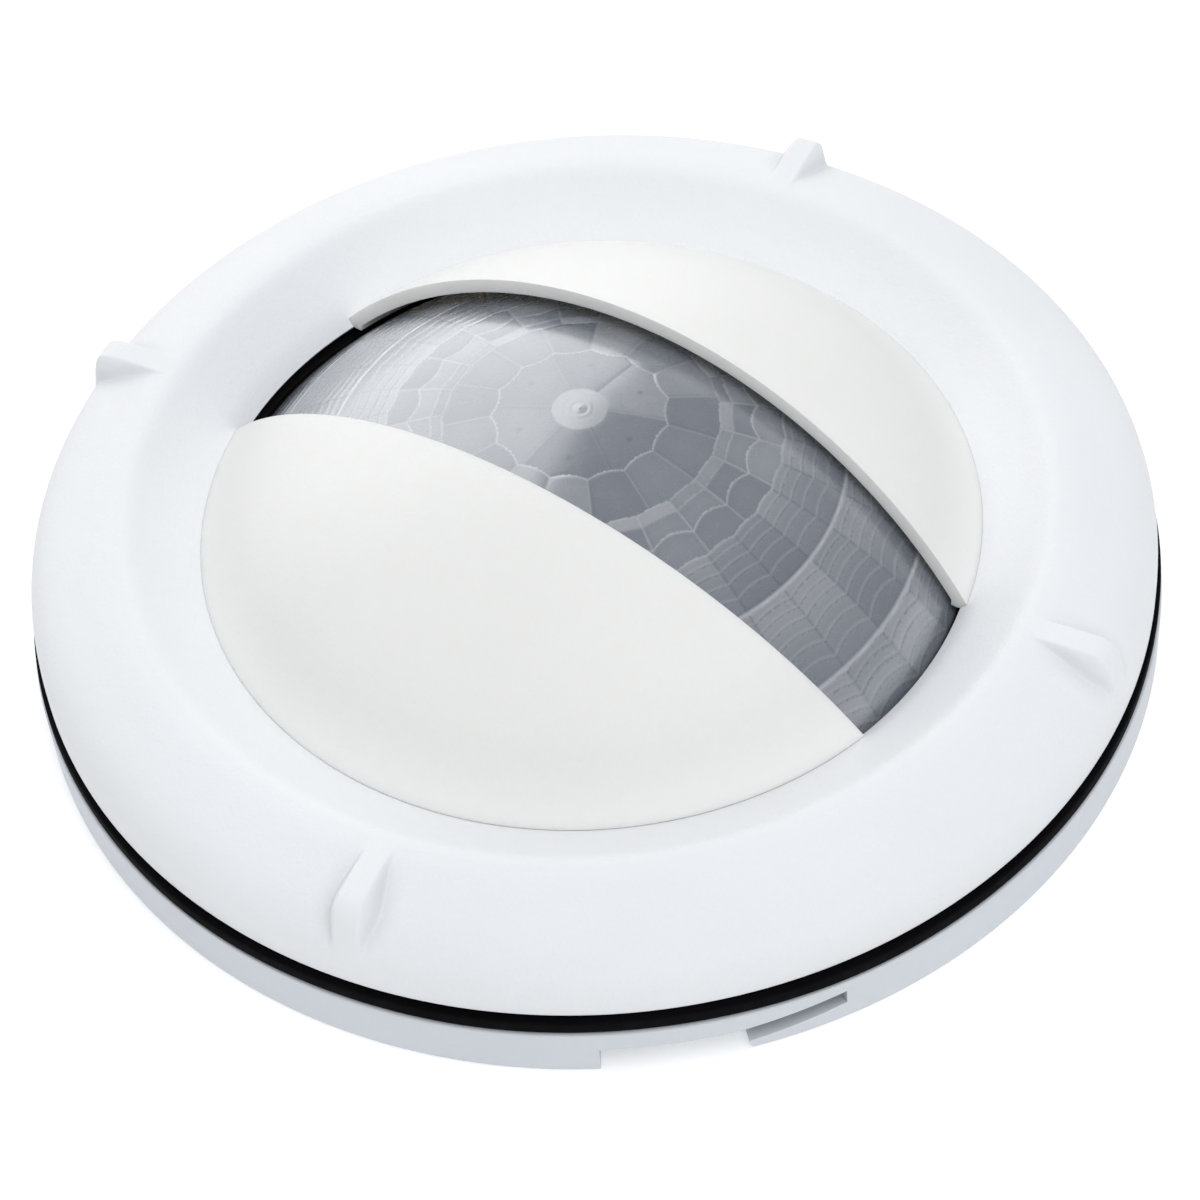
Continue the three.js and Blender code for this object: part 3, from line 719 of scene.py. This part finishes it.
def rear():
    profile = fillet(REAR_PROFILE[:, :2], REAR_PROFILE[:, 2])
    # the points on the axis give way to flat caps
    body = solid("rear_shell", *capped(profile[profile[:, 0] > 0.5], 240))
    cutters = rear_cutters()
    for cutter in cutters:
        cut = body.modifiers.new("cut", "BOOLEAN")
        cut.operation = "DIFFERENCE"
        cut.solver = "EXACT"
        cut.object = cutter
    depsgraph = bpy.context.evaluated_depsgraph_get()
    mesh = bpy.data.meshes.new_from_object(body.evaluated_get(depsgraph))
    body.modifiers.clear()
    uncut = body.data
    body.data = mesh
    bpy.data.meshes.remove(uncut)
    for cutter in cutters:
        bpy.data.objects.remove(cutter)
    mesh.materials.clear()
    finish_piece(body, "rear_plastic", "housing", ["rear_housing"], sharp=30)


def standoffs():
    """Standoffs for the board."""
    for k, degrees in enumerate((30, 150, 270)):
        verts, faces = post(STANDOFF, spot(21.2, degrees))
        piece("standoff_%d" % (k + 1), verts, faces, "rear_plastic", "housing", [], sharp=40)


rear()
standoffs()

# -------------------------------------------------------------- return spring
COIL_R, COIL_H, COIL_TURNS, WIRE_R = 1.78, 3.2, 4, 0.2
COIL_FOOT = (TAMPER_X, TAMPER_Y, 3.95)


def tamper_coil():
    """Coil above the plunger's collar. The real coil shortens as the plunger is pushed in; this
    one is built at one fixed height.
    """
    steps, wire_steps = COIL_TURNS * 48, 12
    t = np.linspace(0, 1, steps + 1)
    sweep = COIL_TURNS * 2 * math.pi
    cos, sin, zero = np.cos(sweep * t), np.sin(sweep * t), 0 * t
    out = np.stack([cos, sin, zero], 1)
    centre = out * COIL_R + np.stack([zero, zero, COIL_H * t], 1)
    along = np.stack([-sin * COIL_R, cos * COIL_R, zero + COIL_H / sweep], 1)
    along /= np.linalg.norm(along, axis=1)[:, None]
    side = np.cross(along, out)
    around = round_steps(wire_steps)[None, :, None]
    wire = WIRE_R * (np.cos(around) * out[:, None] + np.sin(around) * side[:, None])
    verts = (centre[:, None] + wire).reshape(-1, 3) + COIL_FOOT
    faces = grid_faces(steps + 1, wire_steps, close_rows=False)
    faces += [tuple(range(wire_steps)),
              tuple(range(steps * wire_steps, len(verts)))[::-1]]
    obj = piece("tamper_coil", verts, faces, "screw_steel", "housing", ["tamper_spring"], 50)
    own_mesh(obj)


tamper_coil()

# ------------------------------------------------- finishes on the frame's nodes
for part in frame["record"]["subparts"]:
    node_obj = frame["nodes"].get(part["node"])
    if node_obj is None:
        continue
    node_obj.data.materials.clear()
    node_obj.data.materials.append(FINISH[part["material_slot"]])
    if not node_obj.hide_render:
        bevel(node_obj, width=0.00007, segments=2, degrees=50)


# ------------------------------------------------------------- stage, in metres
def floor():
    count, half = 40, 1.2
    steps = np.linspace(-half, half, count)
    verts = [(x, y, -0.0001) for y in steps for x in steps]
    mesh = bpy.data.meshes.new("floor")
    mesh.from_pydata(verts, [], grid_faces(count, count, close_cols=False, close_rows=False))
    obj = place("floor", mesh)
    m = Mat("floor")
    greys = [(0.3, (0.90, 0.90, 0.90)), (0.7, (0.92, 0.92, 0.92))]
    m.set("Base Color", m.ramp(m.noise(scale=20, detail=3), greys))
    m.set("Roughness", 0.9)
    m.set("Specular IOR Level", 0.1)
    m.set("Emission Color", (1, 1, 1, 1))
    m.set("Emission Strength", 0.26)
    mesh.materials.append(m.material)


def card(name, direction, along, width, length, radiance, colour,
         shift=0.0, diffuse=True, glossy=True):
    """A softbox seen from the object in one direction, its long side parallel to along."""
    distance, target = 0.80, Vector((0, 0, 0.015))
    z = Vector(direction).normalized()
    y = (Vector(along) - z * z.dot(Vector(along))).normalized()
    x = y.cross(z)
    light = bpy.data.lights.new(name, "AREA")
    light.shape = "RECTANGLE"
    light.size = width
    light.size_y = length
    light.energy = radiance * math.pi * width * length
    light.color = colour
    obj = place(name, light)
    turned = Matrix((x, y, z)).transposed().to_4x4()
    obj.matrix_world = Matrix.Translation(z * distance + x * shift + target) @ turned
    obj.visible_diffuse = diffuse
    obj.visible_glossy = glossy


def lights():
    behind = dict(direction=(-0.234, 0.853, 0.467), along=(-0.433, -0.531, 0.729))
    warm, cool = (1.0, 0.995, 0.985), (0.985, 0.995, 1.0)
    card("key", **behind, width=0.65, length=0.90, radiance=0.85, colour=warm, glossy=False)
    card("sheen", **behind, width=1.25, length=1.25, radiance=1.6, colour=cool, shift=0.30,
         diffuse=False)
    card("low", direction=(-0.30, 0.93, 0.16), along=(1, 0, 0), width=0.9, length=0.30,
         radiance=1.0, colour=warm, glossy=False)
    card("top", direction=(0.12, -0.30, 0.95), along=(1, 0, 0), width=0.8, length=0.6,
         radiance=2.7, colour=(0.985, 0.99, 1.0), glossy=False)
    world = bpy.data.worlds.new("studio")
    world.use_nodes = True
    background = world.node_tree.nodes["Background"]
    background.inputs["Color"].default_value = (0.95, 0.97, 1.0, 1)
    background.inputs["Strength"].default_value = 0.43
    bpy.context.scene.world = world


def camera():
    pitch, roll = math.radians(49.25), math.radians(-5.25)
    position = Vector((0.25, -177.88, 207.14)) * MM
    data = bpy.data.cameras.new("camera")
    obj = place("camera", data)
    data.sensor_width = 36.0
    data.lens = 105.8
    data.shift_y = -0.0059
    data.clip_start = 0.01
    data.clip_end = 10
    forward = Vector((0, math.cos(pitch), -math.sin(pitch)))
    right = Vector((1, 0, 0))
    aim = Matrix((right, right.cross(forward), -forward)).transposed().to_4x4()
    obj.matrix_world = Matrix.Translation(position) @ aim @ Matrix.Rotation(roll, 4, "Z")
    bpy.context.scene.camera = obj


floor()
lights()
camera()
view = bpy.context.scene.view_settings
view.view_transform = "Standard"
view.look = "None"
view.exposure = 0.0
